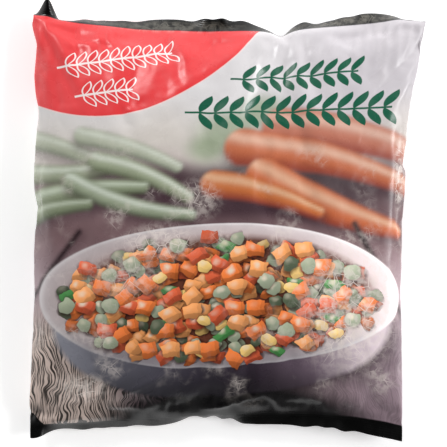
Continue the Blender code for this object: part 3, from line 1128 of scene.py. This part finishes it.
@dataclass
class FilmBody:
    """The bag's film: shaped, blown up, subdivided and creased, with its print laid out on the flat web."""

    shape: BagShape
    web: FilmWeb
    blowing: Blowing
    creasing: Creasing
    backdrop: Backdrop
    pattern_mm: Pair = (20.5, 19.5)  # heights of the front and the back on the flat pattern
    held_from: float = 0.999  # the seals hold the film from this far along it
    seam_reach: float = 0.00002  # points this close together are joined

    def build(self, finish: bpy.types.Material) -> Piece:
        """Makes the film.

        Args:
            finish: its material.

        Returns:
            The film as one closed piece.
        """
        film = add_grid("film", self.web.columns, self.web.rows)
        flat, pinned = self.close_seams(film, *self.wrap(film))
        move_points(film.data, self.blowing.run(film, flat, pinned))
        apply_modifier(film, "SUBSURF", levels=1, render_levels=1, uv_smooth="NONE")
        self.crease(film)
        self.backdrop.store(film.data)
        film.data.shade_smooth()
        film.data.materials.append(finish)
        return film

    def wrap(self, film: Piece) -> tuple[Array, Array]:
        """Wraps the sheet round the contents, and sets its map to the places on the web.

        Args:
            film: the flat grid.

        Returns:
            The points on the flat pattern, and 1 for each point that the seals hold.
        """
        grid = points_of(film.data)
        at = self.web.places(grid[:, 0], np.round((grid[:, 1] + 1) / 2 * self.web.rows))
        points = self.shape.body_points(at["u"], at["v"], at["upper"])
        for end in End:
            strip = at["end"] == end.value
            u, share, upper = (at[name][strip] for name in ("u", "share", "upper"))
            points[strip] = self.shape.strip_points(u, end, share, upper)
        points[:, :2] -= self.shape.middle
        move_points(film.data, points)
        lay_on_web(film.data, np.column_stack((at["web_x"], at["web_y"])))
        front = at["upper"] > 0
        folded = np.where(front, at["web_x"], np.sign(at["web_x"]) * WEB_HALF_MM - at["web_x"])
        flat = np.column_stack((folded, at["web_y"], np.where(front, *self.pattern_mm))) / 1000
        return flat, (at["end"] != 0) | (np.abs(at["v"]) > self.held_from)

    def close_seams(self, film: Piece, flat: Array, held: Array) -> tuple[Array, list[int]]:
        """Joins the web's edges down the back and each strip's two films along its free edge.

        Args:
            film: the wrapped sheet.
            flat: its points on the flat pattern.
            held: which points the seals hold.

        Returns:
            The joined film's points on the flat pattern and the numbers of the held points.
        """
        kept = film.data.attributes
        write(kept.new("pattern", "FLOAT_VECTOR", "POINT").data, "vector", flat)
        write(kept.new("held", "FLOAT", "POINT").data, "value", held)
        apply_modifier(film, "WELD", merge_threshold=self.seam_reach)
        kept = film.data.attributes
        flat = read(kept["pattern"].data, "vector", 3)
        pinned = np.flatnonzero(read(kept["held"].data, "value", 1) > 0.5).tolist()
        for name in ("pattern", "held"):
            kept.remove(kept[name])
        return flat, pinned

    def crease(self, film: Piece) -> None:
        """Folds the film finely, along its own normals, and rests it on the back seam.

        Args:
            film: the blown and subdivided film.
        """
        normals = read(film.data.vertex_normals, "vector", 3)
        relief = self.creasing.relief(web_places(film.data)) / 1000
        points = points_of(film.data) + normals * relief[:, None]
        points[:, 2] = np.maximum(points[:, 2], FILM_LIFT)
        move_points(film.data, points)


@dataclass
class BackSeam:
    """The fin where the web's two edges are joined down the back, folded flat against it."""

    shape: BagShape
    backdrop: Backdrop
    width: float = 0.011
    thickness: float = 0.0004
    gap: float = 0.00005
    reach: float = 0.985  # the share of the bag's length that it runs over
    columns: int = 4
    rows: int = 150

    def build(self, film: Piece) -> Piece:
        """Makes the fin under the film.

        Args:
            film: the finished film, which the fin lies against.

        Returns:
            The fin as one closed piece in the film's own material.
        """
        fin = add_grid("back_seam", self.columns, self.rows)
        grid = points_of(fin.data)
        share, v = (1 - grid[:, 0]) / 2, grid[:, 1] * self.reach
        points = self.shape.body_points(np.zeros_like(v), v, np.zeros_like(v))
        points[:, 0] -= self.width * share
        points[:, :2] -= self.shape.middle
        for point in points:
            hit, place, _, _ = film.ray_cast((point[0], point[1], -0.02), (0.0, 0.0, 1.0))
            point[2] = (place.z if hit else point[2]) - self.gap
        move_points(fin.data, points)
        lay_on_web(fin.data, np.column_stack((WEB_HALF_MM - 1000 * self.width * share, v * BODY_HALF_MM)))
        self.backdrop.store(fin.data)
        apply_modifier(fin, "SOLIDIFY", thickness=self.thickness, offset=-1.0)
        fin.data.shade_smooth()
        fin.data.materials.append(film.data.materials[0])
        return fin


@dataclass
class Studio:
    """A pale floor, soft lights and a camera that looks straight down on the print."""

    view_width: float = 0.295
    view_height: float = 0.015  # of the plane that the view's width is measured in
    view_middle: Pair = (-0.00229, -0.00189)
    lens_mm: float = 100.0
    sensor_mm: float = 36.0
    ceiling_fade: tuple[float, ...] = (0.35, 0.85, 1.65, 0.04)  # from and to a height, the light at each
    front_fade: tuple[float, ...] = (-0.75, 0.25, 0.14, 1.0)  # likewise, from the bag's foot to its head
    floor_glow: float = 0.42  # the floor is lit from below, so that the bag's shadow stays faint
    softboxes: tuple[tuple[str, Three, float, float], ...] = (  # name, place, width and watts
        ("key", (-1.20, 2.30, 1.70), 0.70, 32.0),
        ("fill", (2.50, 0.20, 1.60), 1.00, 46.0),
    )

    def build(self) -> None:
        """Sets the scene round the bag."""
        bpy.context.scene.view_settings.view_transform = "Standard"
        self.lay_floor()
        self.fade_world()
        for softbox in self.softboxes:
            self.hang_softbox(*softbox)
        self.hang_camera()

    def lay_floor(self) -> None:
        """Adds the pale floor that the bag lies on."""
        bpy.ops.mesh.primitive_plane_add(size=6.0)
        floor = bpy.context.object
        floor.name = "floor"
        paint = NodeSheet(bpy.data.materials.new("pale_floor"), "Principled BSDF")
        paint.put(Base_Color="#fafafa", Roughness=0.9)
        paint.put(Emission_Color="#ffffff", Emission_Strength=self.floor_glow)
        floor.data.materials.append(paint.block)

    def fade_world(self) -> None:
        """Surrounds the scene with white light that fades towards the dark ceiling over the camera."""
        world = bpy.data.worlds.new("studio")
        bpy.context.scene.world = world
        sky = NodeSheet(world, "Background")
        parts = sky.add("SeparateXYZ", sky.add("TexCoord")).node.outputs
        ceiling = sky.add("MapRange", parts[2], *self.ceiling_fade)
        front = sky.add("MapRange", parts[1], *self.front_fade)
        sky.put(Color="#ffffff", Strength=sky.add("Math", ceiling, front, **TIMES))

    def hang_softbox(self, name: str, place: Three, size: float, watts: float) -> None:
        """Adds a square light that faces the bag.

        Args:
            name: its name.
            place: where it hangs, in metres.
            size: its width.
            watts: its power.
        """
        data = bpy.data.lights.new(name, "AREA")
        data.size = size
        data.energy = watts
        light = bpy.data.objects.new(name, data)
        light.location = place
        light.rotation_euler = (-Vector(place)).to_track_quat("-Z", "Y").to_euler()
        bpy.context.scene.collection.objects.link(light)

    def hang_camera(self) -> None:
        """Hangs the camera over the bag, square to its front."""
        data = bpy.data.cameras.new("camera")
        data.lens = self.lens_mm
        data.sensor_width = self.sensor_mm
        camera = bpy.data.objects.new("camera", data)
        distance = self.view_width * self.lens_mm / self.sensor_mm
        camera.location = (*self.view_middle, self.view_height + distance)
        bpy.context.scene.collection.objects.link(camera)
        bpy.context.scene.camera = camera


def report(piece: Piece) -> None:
    """Logs a piece's name, faces and height."""
    top = points_of(piece.data)[:, 2].max()
    LOG.info("%s: %d faces, %.1f mm high", piece.name, len(piece.data.polygons), top * 1000)


def main() -> None:
    """Builds the bag's film, its back seam and the studio round them."""
    logging.basicConfig(level=logging.INFO)
    shape, backdrop = BagShape(), Backdrop()
    film = FilmBody(shape, FilmWeb(), Blowing(), Creasing(), backdrop).build(PrintedFilm().block)
    fin = BackSeam(shape, backdrop).build(film)
    for piece in (film, fin):
        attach(piece, "root")
        report(piece)
    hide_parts("bag")
    Studio().build()


if __name__ == "__main__":
    main()
